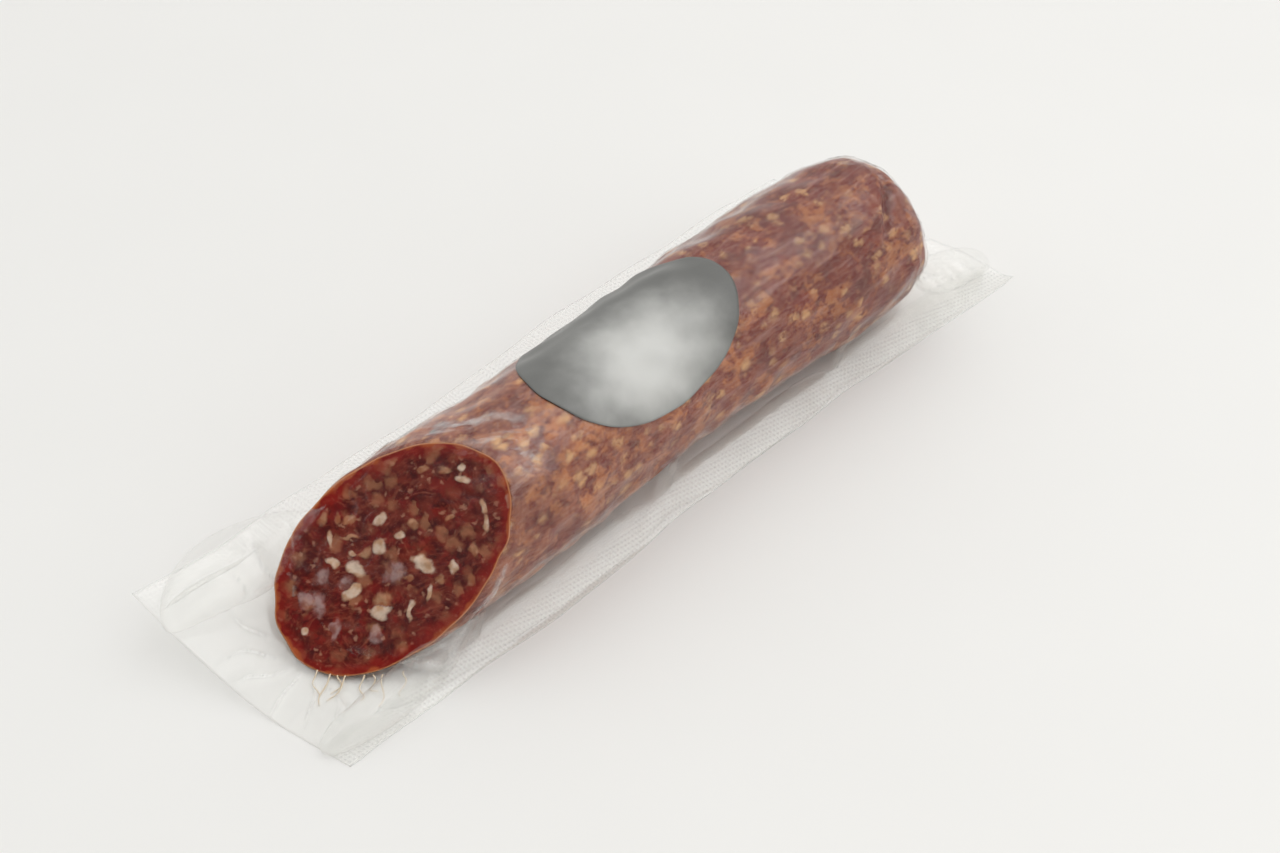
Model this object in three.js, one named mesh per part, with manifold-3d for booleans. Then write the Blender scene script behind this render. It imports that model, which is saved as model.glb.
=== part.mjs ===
// A cured sausage cut at a slant, sealed in a clear vacuum pouch that carries an oval label.
// Millimetres. +X runs along the sausage from the cut end to the round end, +Y is its left
// side and +Z is up. The origin is on the table, on the flat strip under the label.
import * as THREE from 'three';
import { mergeVertices } from 'three/addons/utils/BufferGeometryUtils.js';
import Module from 'manifold-3d';

// Sausage
const BODY_RADIUS = 24;          // at the label, and the height of the axis above the table
const BODY_SWELL = 0.00036;      // growth of the radius for each millimetre towards the round end
const SWAY = 1.45;               // how far the axis wanders sideways
const SWAY_SHIFT = -0.55;
const SWAY_CREST_X = -75;        // where the axis is furthest to the right
const SWAY_HALF_WAVE = 105;
const DOME_START_X = 78;         // the round end runs from here to its tip
const DOME_LENGTH = 31;
const DOME_POWER = 2.8;          // 2 is an ellipse, more is blunter
const BODY_SIDES = 56;
const BODY_STEPS = 15;           // facets along the straight part and round the end
const DOME_STEPS = 9;
const CUT_X = -89.9;             // where the slanted cut crosses the axis
const CUT_NORMAL = new THREE.Vector3(-0.624, -0.36, 0.693).normalize();
const CUT_TOP_X = -54;           // the cut leaves the top of the sausage near here
const UNCUT_END_X = -135;        // the turned blank reaches past the cut

// Pouch: two sheets of film, sealed along a flat margin that leans with the sausage
const FILM = 0.35;               // thickness of each sheet
const GAP = 0.35;                // clearance between neighbouring pieces
const MARGIN_GAP = 0.5;          // clearance between the two sheets in the margin
const LEAN = THREE.MathUtils.degToRad(14.4);  // the margin is low on the right, high on the left
const SEAL_DEPTH = 14;           // of the margin below the axis
const MARGIN_RIGHT = 33.5;       // from the axis to the outer edge, along the margin
const MARGIN_LEFT = 37.2;
const SEAL_BAND = 7;             // width of the welded band at the outer edge
const EDGE_WAVE = 0.9;           // the edges are cut and pulled a little wavy
const EDGE_WAVE_REACH = 13;      // length that governs the long wave, and the short one on top
const EDGE_RIPPLE = 0.6;
const EDGE_RIPPLE_REACH = 5.7;
const WALL_STEP = 0.4;           // the upper sheet drops beside the sausage this much outside it
const RIGHT_EDGE_Y = -29;        // the right margin bends down to the table here
const RIGHT_EDGE_SLOPE = 0.5;
const NEAR_EDGE_X = -134.5;      // ends of the pouch, on its middle line
const FAR_EDGE_X = 123;
const NEAR_SKEW = -0.147;        // the two ends are cut askew
const FAR_SKEW = -0.47;
const POCKET_NEAR_X = -118;      // the pocket for the sausage closes outside these
const POCKET_FAR_X = 118;
const LOWER_POCKET_FAR_X = 113;
const POCKET_FADE = 10;
const POCKET_FAR_SKEW = -0.2;    // the far end of the pocket is askew too
const POCKET_TIP_WIDTH = 0.8;    // width of the pocket at its far tip, as a share of its full width
const NEAR_DROOP_X = -116;       // past here the near end sinks to the table on the right
const NEAR_DROOP_SLOPE = 0.39;
const NEAR_DROOP_Y = -9;
const CUT_LOOSENESS = 2;         // room between the cut face and the upper sheet
const ARCH_STEPS = 16;           // facets over the sausage and under it
const TROUGH_STEPS = 14;

// Label
const LABEL_HALF_LENGTH = 36.2;
const LABEL_HALF_WIDTH = 26.9;   // measured round the sausage
const LABEL_SHIFT = -2.2;        // round the sausage, to its right
const LABEL_THICKNESS = 0.3;
const LABEL_RINGS = 7;
const LABEL_SECTORS = 40;

const { clamp, lerp, smoothstep } = THREE.MathUtils;

function radiusAt(x) {
  return BODY_RADIUS * (1 + BODY_SWELL * x);
}

function axisY(x) {
  return SWAY_SHIFT - SWAY * Math.cos(Math.PI * (x - SWAY_CREST_X) / SWAY_HALF_WAVE);
}

// 0 along the straight part, growing to 1 at the tip of a round end
function alongEnd(x, tipX) {
  return clamp((x - DOME_START_X) / (tipX - DOME_START_X), 0, 1) ** DOME_POWER;
}

// 1 along the straight part, falling to 0 at the tip, upright at the tip
function roundOff(x, tipX) {
  return (1 - alongEnd(x, tipX)) ** (1 / DOME_POWER);
}

// Evenly spaced numbers from start to end, both included
function spread(start, end, steps) {
  return Array.from({ length: steps + 1 }, (_, i) => lerp(start, end, i / steps));
}

function geometryFrom(points, triangles) {
  const geometry = new THREE.BufferGeometry();
  geometry.setAttribute('position', new THREE.Float32BufferAttribute(points.flat(), 3));
  geometry.setIndex(triangles);
  geometry.computeVertexNormals();
  return geometry;
}

// A closed sheet from two grids of points of the same size: over is the upper face
function sheetFrom(over, under) {
  const rows = over.length;
  const columns = over[0].length;
  const underStart = rows * columns;
  const points = [...over.flat(), ...under.flat()];
  const triangles = [];
  const quad = (a, b, c, d) => triangles.push(a, b, c, a, c, d);
  const at = (row, column) => row * columns + column;
  for (let row = 0; row < rows - 1; row++) {
    for (let column = 0; column < columns - 1; column++) {
      const corners = [at(row, column), at(row + 1, column), at(row + 1, column + 1), at(row, column + 1)];
      quad(...corners);
      quad(...corners.reverse().map((corner) => corner + underStart));
    }
  }
  const rim = [];
  for (let column = 0; column < columns - 1; column++) rim.push(at(0, column));
  for (let row = 0; row < rows - 1; row++) rim.push(at(row, columns - 1));
  for (let column = columns - 1; column > 0; column--) rim.push(at(rows - 1, column));
  for (let row = rows - 1; row > 0; row--) rim.push(at(row, 0));
  rim.forEach((a, i) => {
    const b = rim[(i + 1) % rim.length];
    quad(a, b, b + underStart, a + underStart);
  });
  return geometryFrom(points, triangles);
}

// ---- Sausage: a turned blank, bent, flattened where it lies, then cut at a slant ----

function sausageBlank() {
  const straight = spread(UNCUT_END_X, DOME_START_X, BODY_STEPS).slice(0, -1);
  const dome = spread(0, Math.PI / 2, DOME_STEPS).map(
    (angle) => DOME_START_X + DOME_LENGTH * Math.sin(angle));
  const tipX = DOME_START_X + DOME_LENGTH;
  const profile = [...straight, ...dome].map(
    (x) => new THREE.Vector2(radiusAt(x) * roundOff(x, tipX), x));
  profile[profile.length - 1].x = 0;
  profile.unshift(new THREE.Vector2(0, UNCUT_END_X));
  const geometry = new THREE.LatheGeometry(profile, BODY_SIDES);
  geometry.rotateZ(-Math.PI / 2);
  const position = geometry.attributes.position;
  for (let i = 0; i < position.count; i++) {
    const x = position.getX(i);
    position.setY(i, position.getY(i) + axisY(x));
    position.setZ(i, Math.max(position.getZ(i) + BODY_RADIUS, FILM + GAP));
  }
  return geometry;
}

// A block whose lower face is the plane of the cut
function cuttingBlock() {
  const size = 160;
  const geometry = new THREE.BoxGeometry(size, size, size);
  geometry.translate(0, 0, size / 2);
  const up = new THREE.Vector3(0, 0, 1);
  geometry.applyQuaternion(new THREE.Quaternion().setFromUnitVectors(up, CUT_NORMAL));
  geometry.translate(CUT_X, 0, BODY_RADIUS);
  return geometry;
}

function subtract(wasm, geometry, tool) {
  const [body, cutter] = [geometry, tool].map((source) => {
    const bare = source.clone();
    bare.deleteAttribute('normal');
    bare.deleteAttribute('uv');
    const merged = mergeVertices(bare, 1e-4);
    return new wasm.Manifold(new wasm.Mesh({
      numProp: 3,
      vertProperties: Float32Array.from(merged.attributes.position.array),
      triVerts: Uint32Array.from(merged.index.array),
    }));
  });
  const mesh = body.subtract(cutter).getMesh();
  const result = new THREE.BufferGeometry();
  result.setAttribute('position', new THREE.BufferAttribute(mesh.vertProperties, 3));
  result.setIndex(new THREE.BufferAttribute(mesh.triVerts, 1));
  result.computeVertexNormals();
  return result;
}

// ---- Pouch ----

// Height of the sealed margin's lower face above the table
function sealHeight(x, y) {
  const leaning = BODY_RADIUS - SEAL_DEPTH / Math.cos(LEAN) + Math.tan(LEAN) * (y - axisY(x));
  const drooping = Math.max(0, NEAR_DROOP_SLOPE * (y - NEAR_DROOP_Y));
  return Math.max(0, lerp(leaning, drooping, smoothstep(-x, -NEAR_DROOP_X, -NEAR_EDGE_X)));
}

function marginHeight(x, y) {
  return Math.max(0, Math.min(sealHeight(x, y), RIGHT_EDGE_SLOPE * (y - RIGHT_EDGE_Y)));
}

// Highest level, measured square to the margin, that the cut leaves room for
function cutLevel(x, across, looseness) {
  const side = CUT_NORMAL.y * Math.cos(LEAN) + CUT_NORMAL.z * Math.sin(LEAN);
  const up = CUT_NORMAL.z * Math.cos(LEAN) - CUT_NORMAL.y * Math.sin(LEAN);
  return (looseness - CUT_NORMAL.x * (x - CUT_X) - side * across) / up;
}

// A point of the pocket: across and level are measured from the axis, along and square to the
// margin. Where the pocket has faded out, rise is 0 and the point lies on the margin.
function pocketPoint(x, across, level, lift, rise) {
  const y = axisY(x) + across * Math.cos(LEAN) - level * Math.sin(LEAN);
  const base = lerp(marginHeight(x, y), sealHeight(x, y), rise);
  return [x, y, Math.max(base + (level + SEAL_DEPTH) / Math.cos(LEAN), lift)];
}

function marginPoint(x, across, lift) {
  const y = axisY(x) + across * Math.cos(LEAN) + SEAL_DEPTH * Math.sin(LEAN);
  return [x, y, marginHeight(x, y) + lift];
}

function skewedX(middleX, across) {
  const near = NEAR_SKEW * smoothstep(-middleX, -NEAR_DROOP_X, -NEAR_EDGE_X);
  const far = FAR_SKEW * smoothstep(middleX, DOME_START_X, FAR_EDGE_X);
  return middleX + (near + far) * across;
}

// Columns of the margin on one side, from the pocket out to the edge
function marginColumns(middleX, side, lift) {
  const width = side < 0 ? MARGIN_RIGHT : MARGIN_LEFT;
  const ripple = EDGE_RIPPLE * Math.sin(middleX / EDGE_RIPPLE_REACH);
  const wave = EDGE_WAVE * (Math.sin(middleX / EDGE_WAVE_REACH + side) + ripple);
  return [width - SEAL_BAND, width - SEAL_BAND / 2, width].map((distance) => {
    const across = side * (distance + wave * smoothstep(distance, width - SEAL_BAND, width));
    return marginPoint(skewedX(middleX, across), across, lift);
  });
}

const ARCH_ANGLES = spread(-Math.PI / 2, Math.PI / 2, ARCH_STEPS);

// 1 where the pocket is at its full height, 0 past its ends
function pocketRise(x, across, farTipX) {
  const farEnd = Math.cos(Math.PI / 2 * alongEnd(x, farTipX + POCKET_FAR_SKEW * across));
  return farEnd * smoothstep(x, POCKET_NEAR_X - POCKET_FADE, POCKET_NEAR_X);
}

// One row of the upper sheet: margin, wall, arch over the sausage, wall, margin
function upperRow(middleX, offset, lift) {
  const radius = radiusAt(middleX) + offset;
  const halfWidth = radius * lerp(POCKET_TIP_WIDTH, 1, roundOff(middleX, POCKET_FAR_X));
  const arch = ARCH_ANGLES.map((angle) => {
    const across = halfWidth * Math.sin(angle);
    const x = skewedX(middleX, across);
    const rise = pocketRise(x, across, POCKET_FAR_X);
    const round = rise * (SEAL_DEPTH + radius * Math.cos(angle)) - SEAL_DEPTH;
    const level = Math.min(round, cutLevel(x, across, CUT_LOOSENESS + offset));
    return pocketPoint(x, across, Math.max(level, lift - SEAL_DEPTH), lift, rise);
  });
  const foot = halfWidth + WALL_STEP;
  return [
    ...marginColumns(middleX, -1, lift).reverse(),
    marginPoint(skewedX(middleX, -foot), -foot, lift),
    ...arch,
    marginPoint(skewedX(middleX, foot), foot, lift),
    ...marginColumns(middleX, 1, lift),
  ];
}

// One row of the lower sheet: margin, trough under the sausage, margin
function lowerRow(middleX, offset, lift) {
  const radius = radiusAt(middleX) + offset;
  const depthToMargin = SEAL_DEPTH - lift;
  const brink = Math.acos(depthToMargin / radius);
  const trough = spread(-brink, brink, TROUGH_STEPS).map((angle) => {
    const across = radius * Math.sin(angle);
    const x = skewedX(middleX, across);
    const rise = pocketRise(x, across, LOWER_POCKET_FAR_X);
    const sink = rise * (radius * Math.cos(angle) - depthToMargin);
    return pocketPoint(x, across, -depthToMargin - sink, lift, rise);
  });
  return [
    ...marginColumns(middleX, -1, lift).reverse(),
    ...trough,
    ...marginColumns(middleX, 1, lift),
  ];
}

const POUCH_STATIONS = [
  ...spread(NEAR_EDGE_X, POCKET_NEAR_X, 4).slice(0, -1),
  ...spread(POCKET_NEAR_X, CUT_TOP_X, 16).slice(0, -1),
  ...spread(CUT_TOP_X, DOME_START_X, 8).slice(0, -1),
  ...spread(DOME_START_X, POCKET_FAR_X, 10).slice(0, -1),
  ...spread(POCKET_FAR_X, FAR_EDGE_X, 2),
];

function upperFilm() {
  const over = POUCH_STATIONS.map((x) => upperRow(x, GAP + FILM, 2 * FILM + MARGIN_GAP));
  const under = POUCH_STATIONS.map((x) => upperRow(x, GAP, FILM + MARGIN_GAP));
  return sheetFrom(over, under);
}

function lowerFilm() {
  const over = POUCH_STATIONS.map((x) => lowerRow(x, GAP, FILM));
  const under = POUCH_STATIONS.map((x) => lowerRow(x, GAP + FILM, 0));
  return sheetFrom(over, under);
}

// ---- Label: an oval wrapped on the upper sheet ----

function labelPoint(ring, sector, lift) {
  const turn = 2 * Math.PI * sector / LABEL_SECTORS;
  const x = LABEL_HALF_LENGTH * ring / LABEL_RINGS * Math.cos(turn);
  const arc = LABEL_HALF_WIDTH * ring / LABEL_RINGS * Math.sin(turn) + LABEL_SHIFT;
  const radius = radiusAt(x) + 2 * GAP + FILM + lift;
  const angle = arc / radius;
  return [x, axisY(x) + radius * Math.sin(angle), BODY_RADIUS + radius * Math.cos(angle)];
}

function ovalLabel() {
  const points = [];
  const triangles = [];
  for (const lift of [LABEL_THICKNESS, 0]) {
    points.push(labelPoint(0, 0, lift));
    for (let ring = 1; ring <= LABEL_RINGS; ring++) {
      for (let sector = 0; sector < LABEL_SECTORS; sector++) points.push(labelPoint(ring, sector, lift));
    }
  }
  const underStart = points.length / 2;
  const at = (ring, sector) => (ring ? 1 + (ring - 1) * LABEL_SECTORS + sector % LABEL_SECTORS : 0);
  const both = (a, b, c) => triangles.push(a, b, c, underStart + a, underStart + c, underStart + b);
  for (let sector = 0; sector < LABEL_SECTORS; sector++) {
    both(0, at(1, sector), at(1, sector + 1));
    for (let ring = 1; ring < LABEL_RINGS; ring++) {
      both(at(ring, sector), at(ring + 1, sector), at(ring + 1, sector + 1));
      both(at(ring, sector), at(ring + 1, sector + 1), at(ring, sector + 1));
    }
    const a = at(LABEL_RINGS, sector);
    const b = at(LABEL_RINGS, sector + 1);
    triangles.push(a, a + underStart, b, b, a + underStart, b + underStart);
  }
  return geometryFrom(points, triangles);
}

// ---- Assembly ----

function piece(name, geometry, color, roughness, options = {}) {
  const material = new THREE.MeshStandardMaterial({ color, roughness, metalness: 0, ...options });
  const mesh = new THREE.Mesh(geometry, material);
  mesh.name = name;
  return mesh;
}

const wasm = await Module();
wasm.setup();

const CLEAR = { transparent: true, opacity: 0.2 };
const packedSausage = new THREE.Group();
packedSausage.add(
  piece('sausage', subtract(wasm, sausageBlank(), cuttingBlock()), 0x8a4630, 0.45),
  piece('pouch_lower_film', lowerFilm(), 0xf2f2ee, 0.12, CLEAR),
  piece('pouch_upper_film', upperFilm(), 0xf2f2ee, 0.12, CLEAR),
  piece('oval_label', ovalLabel(), 0x6f716e, 0.5),
);

export default packedSausage;
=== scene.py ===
# Looks of a cured sausage in its clear vacuum pouch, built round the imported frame.
# Lengths are worked out in millimetres and handed to Blender in metres.
import math

import bpy
import numpy as np
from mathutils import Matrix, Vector


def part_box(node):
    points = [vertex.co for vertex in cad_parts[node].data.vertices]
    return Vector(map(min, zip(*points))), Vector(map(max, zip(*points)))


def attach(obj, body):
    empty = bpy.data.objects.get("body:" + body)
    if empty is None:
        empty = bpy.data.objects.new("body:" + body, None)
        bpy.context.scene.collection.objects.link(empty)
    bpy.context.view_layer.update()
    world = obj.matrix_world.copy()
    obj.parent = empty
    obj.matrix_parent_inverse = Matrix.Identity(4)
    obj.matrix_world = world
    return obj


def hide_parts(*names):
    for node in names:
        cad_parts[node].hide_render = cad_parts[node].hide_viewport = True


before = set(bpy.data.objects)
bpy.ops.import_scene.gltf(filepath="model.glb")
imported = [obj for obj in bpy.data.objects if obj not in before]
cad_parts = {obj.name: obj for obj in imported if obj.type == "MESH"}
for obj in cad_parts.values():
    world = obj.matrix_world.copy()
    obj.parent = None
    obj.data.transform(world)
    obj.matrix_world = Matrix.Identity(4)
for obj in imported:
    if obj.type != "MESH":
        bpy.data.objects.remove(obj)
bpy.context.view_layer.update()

MM = 0.001
SEED = 7


def frame_box(node):
    """Lowest and highest corner of a piece of the frame, in millimetres."""
    low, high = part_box(node)
    return np.array(low) / MM, np.array(high) / MM


body_low, body_high = frame_box("sausage")
label_low, label_high = frame_box("oval_label")

# Sausage
AXIS_Z = 24.0
BODY_RADIUS = 24.0
BODY_SWELL = 0.00036
RESTING_Z = body_low[2]
ROUND_TIP_X = body_high[0]
DOME_LENGTH = 31.0
DOME_START_X = ROUND_TIP_X - DOME_LENGTH
DOME_POWER = 4.0
CUT_CENTRE = np.array([-89.9, 0.0, AXIS_Z])
CUT_NORMAL = np.array([-0.624, -0.36, 0.693])
CUT_NORMAL /= np.linalg.norm(CUT_NORMAL)
CUT_ALONG = np.array([1.0, 0.0, 0.0]) - CUT_NORMAL[0] * CUT_NORMAL
CUT_ALONG /= np.linalg.norm(CUT_ALONG)
CUT_ACROSS = np.cross(CUT_NORMAL, CUT_ALONG)

# Pouch
LEAN = math.radians(14.4)
SEAL_DEPTH = 14.0
MARGIN_RIGHT = 33.5
MARGIN_LEFT = 37.2
SEAL_BAND = 7.0
RIGHT_EDGE_Y = -29.0
RIGHT_EDGE_SLOPE = 0.5
NEAR_EDGE_X = -134.5
FAR_EDGE_X = 123.0
NEAR_SKEW = -0.147
FAR_SKEW = -0.47
NEAR_SKEW_START_X = -116.0
# In front of the cut the margin sinks to the table on the right, and less to the left
NEAR_DROOP_X = (-114.0, -90.0)
NEAR_DROOP_Y = (-9.0, 37.5)
NEAR_CORNER_HEIGHT = 18.0
NEAR_DROOP_POWER = 1.6
# Its long edges wander a little
EDGE_WAVE = 0.4
EDGE_WAVE_LENGTH = 13.0
EDGE_RIPPLE_SHARE = 0.6
EDGE_RIPPLE_LENGTH = 5.7
FILM_THICKNESS = 0.1
FILM_CLEARANCE = 0.15


# ---------------------------------------------------------------- small maths

def ease(low, high, value):
    """0 below low, 1 above high, smooth in between."""
    t = np.clip((value - low) / (high - low), 0.0, 1.0)
    return t * t * (3 - 2 * t)


def blend(a, b, share):
    return a + (b - a) * share


def ripple(points, size, seed, waves=14):
    """A smooth random field about -1 to 1, with lumps of the given size."""
    rng = np.random.default_rng(seed)
    total = np.zeros(points.shape[:-1])
    for _ in range(waves):
        direction = rng.normal(size=3)
        direction *= 2 * math.pi / (size * rng.uniform(0.75, 1.5)) / np.linalg.norm(direction)
        total += np.sin(points @ direction + rng.uniform(0, 2 * math.pi))
    return total * math.sqrt(2 / waves) * 0.6


# ---------------------------------------------------------------- sausage shape

# Towards the cut the section is a little oval: waves round it, cosine and sine share
NEAR_END_FADE = (-40.0, -90.0)
NEAR_END_SHIFT_Y = 0.94
NEAR_END_WAVES = ((2, -0.018, 0.066), (3, -0.013, -0.009))
# Slow changes of thickness along the sausage, and of its axis from side to side
WAIST_MEAN, WAIST_REACH = 0.15, 0.5
WAIST_TOP_X, WAIST_LENGTH = -45.0, 115.0
WAIST_FADE = (70.0, 100.0)
BEND_MEAN, BEND_REACH = -0.55, -1.45
BEND_TOP_X, BEND_HALF_LENGTH = -75.0, 105.0
# A crease in the round end, from its top round to its right side
CREASE_TOP = (99.0, math.radians(-20))
CREASE_FOOT = (87.0, math.radians(-54))
CREASE_DEPTH = 2.8
CREASE_WIDTH = 1.7
# A low hump before the round end: where it is, round and along, and how far it spreads
HUMP_HEIGHT = 1.3
HUMP_X, HUMP_TURN = 97.0, 0.15
HUMP_LENGTH, HUMP_SPREAD = 9.0, 0.6
# Lumps in the casing: size and height, the small ones lower beside the cut
LUMP_SIZE, LUMP_HEIGHT = 26.0, 0.3
BUMP_SIZE, BUMP_HEIGHT = 9.0, 0.16
BUMP_GROWTH_X = (-84.0, -60.0)


def near_end(x):
    return ease(-NEAR_END_FADE[0], -NEAR_END_FADE[1], -x)


def radius_at(x, turn):
    waist = WAIST_MEAN + WAIST_REACH * np.cos(2 * math.pi * (x - WAIST_TOP_X) / WAIST_LENGTH)
    oval = sum(c * np.cos(k * turn) + s * np.sin(k * turn) for k, c, s in NEAR_END_WAVES)
    plain = BODY_RADIUS * (1 + BODY_SWELL * x) + waist * (1 - ease(*WAIST_FADE, x))
    return plain * (1 + near_end(x) * oval)


def axis_y(x):
    bend = BEND_MEAN + BEND_REACH * np.cos(math.pi * (x - BEND_TOP_X) / BEND_HALF_LENGTH)
    return bend + NEAR_END_SHIFT_Y * near_end(x)


def turn_at(points):
    """Angle round the axis, 0 at the top and growing to the left."""
    return np.arctan2(points[..., 1] - axis_y(points[..., 0]), points[..., 2] - AXIS_Z)


def dome_share(x):
    u = np.clip((x - DOME_START_X) / DOME_LENGTH, 0.0, 1.0)
    return (1 - u ** DOME_POWER) ** (1 / DOME_POWER)


def relief(points):
    """How far the casing stands proud of the plain round shape."""
    x, turn = points[..., 0], turn_at(points)
    down = (turn - CREASE_TOP[1]) / (CREASE_FOOT[1] - CREASE_TOP[1])
    crease_x = CREASE_TOP[0] + down * (CREASE_FOOT[0] - CREASE_TOP[0])
    off = (x - crease_x) / CREASE_WIDTH
    groove = CREASE_DEPTH * np.exp(-off ** 2) * ease(-0.25, 0.1, down) * (1 - ease(0.5, 1.3, down))
    hump = HUMP_HEIGHT * np.exp(-((x - HUMP_X) / HUMP_LENGTH) ** 2)
    hump = hump * np.exp(-((turn - HUMP_TURN) / HUMP_SPREAD) ** 2)
    lumps = LUMP_HEIGHT * ripple(points, LUMP_SIZE, SEED)
    bumps = BUMP_HEIGHT * (1 + ease(*BUMP_GROWTH_X, x)) * ripple(points, BUMP_SIZE, SEED + 1)
    return lumps + bumps + hump - groove


def body_distance(points):
    """Distance outside the sausage, below zero inside it."""
    x, y, z = points[..., 0], points[..., 1], points[..., 2]
    out = np.hypot(y - axis_y(x), z - AXIS_Z)
    radius = radius_at(x, turn_at(points))
    u = np.clip((x - DOME_START_X) / DOME_LENGTH, 0.0, None)
    dome = ((out / radius) ** DOME_POWER + u ** DOME_POWER) ** (1 / DOME_POWER)
    side = (dome - 1) * radius
    cut = (points - CUT_CENTRE) @ CUT_NORMAL
    return np.maximum(np.maximum(side, cut), RESTING_Z - z)


def gradient(distance, points, step=0.05):
    slopes = [
        distance(points + step * axis) - distance(points - step * axis)
        for axis in np.eye(3)
    ]
    slopes = np.stack(slopes, axis=-1)
    return slopes / np.maximum(np.linalg.norm(slopes, axis=-1, keepdims=True), 1e-9)


# ---------------------------------------------------------------- mesh helpers

def grid_faces(rows, columns, wrap=False, start=0):
    """Faces of a grid of points; wrap joins the last column to the first."""
    row = np.arange(rows - 1)[:, None]
    column = np.arange(columns if wrap else columns - 1)[None, :]
    after = (column + 1) % columns
    corners = [row * columns + column, row * columns + after,
               (row + 1) * columns + after, (row + 1) * columns + column]
    return np.stack([c.ravel() for c in corners], axis=1) + start


def make_piece(name, points, faces, attributes=None):
    mesh = bpy.data.meshes.new(name)
    mesh.from_pydata((points * MM).tolist(), [], [tuple(f) for f in faces])
    for key, values in (attributes or {}).items():
        layer = mesh.attributes.new(key, "FLOAT", "POINT")
        layer.data.foreach_set("value", np.asarray(values, np.float32))
    mesh.update()
    mesh.shade_smooth()
    made = bpy.data.objects.new(name, mesh)
    bpy.context.scene.collection.objects.link(made)
    return made


def add_uv(made, uv):
    """One pair of numbers for each vertex becomes the piece's UV map."""
    layer = made.data.uv_layers.new(name="surface")
    corner = np.empty(len(made.data.loops), np.int32)
    made.data.loops.foreach_get("vertex_index", corner)
    layer.data.foreach_set("uv", np.asarray(uv, np.float32)[corner].ravel())


def thicken(made, thickness):
    modifier = made.modifiers.new("thickness", "SOLIDIFY")
    modifier.thickness = thickness * MM
    modifier.offset = 0


# ---------------------------------------------------------------- fat on the cut face

# Pieces of fat that stand out on the cut: along and across the face from its middle,
# length, width, turn in degrees, and kind
CREAM, CLOUDY, TAN = 0.0, 0.5, 1.0
FAT_PIECES = [
    (6, 8.5, 3.6, 3, 0, CREAM), (0, 13.5, 3, 2.4, 10, TAN), (1.5, 3.5, 4.4, 3.4, 30, CREAM),
    (7.5, 2, 2.8, 1.8, -40, CREAM), (-5, 6.5, 2.9, 1.6, -45, CREAM), (-10.5, 8, 3.4, 2, -60, CREAM),
    (-7, 3, 5.4, 3.4, -70, CREAM), (-7, 13.5, 3.4, 1.4, 50, CREAM), (-15, 7, 4.6, 3.6, 20, CLOUDY),
    (-11.5, 2, 4.6, 3.8, 0, CLOUDY), (-11.5, -1, 5.8, 3.2, -10, CREAM),
    (0, -4.5, 6.2, 5.2, -20, CLOUDY), (7.5, -7.5, 7, 3.8, -75, CREAM), (-7, -8, 4.6, 4.4, 0, TAN),
    (-9, -9.5, 5.2, 3.8, -30, CREAM), (26.5, -10.5, 4.2, 1.7, 50, CREAM), (29, -7, 4.2, 1.8, 60, CREAM),
    (29.5, 2, 4.2, 2.2, -50, CREAM), (31, 4.5, 2.4, 1.7, 40, CREAM), (27.5, 7, 4, 1.7, -35, TAN),
    (23, 11, 2.6, 1.6, -30, TAN), (13, -13.5, 3.4, 1.8, 45, CREAM), (3.5, -14.5, 4.8, 1.5, 45, CREAM),
    (-3, -14.5, 5.6, 1.6, 40, CREAM), (-14, -13.5, 4.6, 3.4, 30, CLOUDY),
    (-27.5, -0.5, 2.4, 1.9, -60, CREAM), (-22.5, 5.5, 5.2, 3.4, 70, CLOUDY),
    (-20.5, 2.5, 6, 3.2, 60, CLOUDY), (-21.5, -5.5, 6.4, 2.2, 40, CLOUDY),
    (29.5, 12.5, 4.2, 1.8, -30, TAN), (18, 18, 4.2, 1.8, -20, TAN), (33.5, 7.5, 2.4, 1.7, -50, CLOUDY),
    (36.5, -5, 4.4, 1.9, 70, TAN), (35, -10, 4, 1.8, 60, CREAM), (12, 2, 3.6, 2, -60, TAN),
    (-2, 16, 3.4, 1.8, 50, TAN), (-3, 10.5, 6, 1.3, -40, TAN), (20, -13.5, 3.6, 2.2, 50, TAN),
    (14.5, -19, 3, 2.6, 0, TAN), (8.5, -13.5, 3, 2.2, 20, TAN), (2.5, -8, 2.4, 1.8, 0, TAN),
    (-5.5, 18.5, 3.6, 2.4, 30, TAN), (20.5, -3, 2.2, 1.7, 0, TAN), (-2.5, 4.5, 3.4, 2.4, -30, TAN),
]


# The borders of the fat wander, and are softer on the cloudy and tan pieces
FAT_WANDER, FAT_WANDER_SIZE = 0.45, 3.2
CREAM_SOFTNESS, DIM_SOFTNESS = 0.45, 0.6


def fat_on_face(along, across):
    """How much fat shows at each point of the face, and of which kind."""
    flat = np.stack([along, across, np.zeros_like(along)], axis=-1)
    along = along + FAT_WANDER * ripple(flat, FAT_WANDER_SIZE, SEED + 2)
    across = across + FAT_WANDER * ripple(flat, FAT_WANDER_SIZE, SEED + 3)
    amount = np.zeros_like(along)
    kind = np.zeros_like(along)
    for middle_along, middle_across, length, width, turn, sort in FAT_PIECES:
        c, s = math.cos(math.radians(turn)), math.sin(math.radians(turn))
        a, b = along - middle_along, across - middle_across
        away = np.hypot((a * c + b * s) / (length / 2), (b * c - a * s) / (width / 2))
        softness = CREAM_SOFTNESS if sort == CREAM else DIM_SOFTNESS
        shown = 1 - ease(1 - softness, 1 + softness, away)
        kind = np.where(shown > amount, sort, kind)
        amount = np.maximum(amount, shown)
    return amount, kind


# ---------------------------------------------------------------- sausage

SIDES = 360
CASING_ROWS = 230
FACE_RINGS = 84
RIM_ROUNDING = 0.5
RIM_ROUNDING_REACH = 1.6
RELIEF_FADE_RADIUS = 8.0
# Unevenness of the cut: how proud the fat stands, the amount of fat that is level with the
# meat, and the size, height and seed of two kinds of waves
FAT_PROUD = 0.14
FAT_LEVEL = 0.3
FACE_WAVES = ((2.2, 0.1, 5), (9, 0.16, 6))


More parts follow.
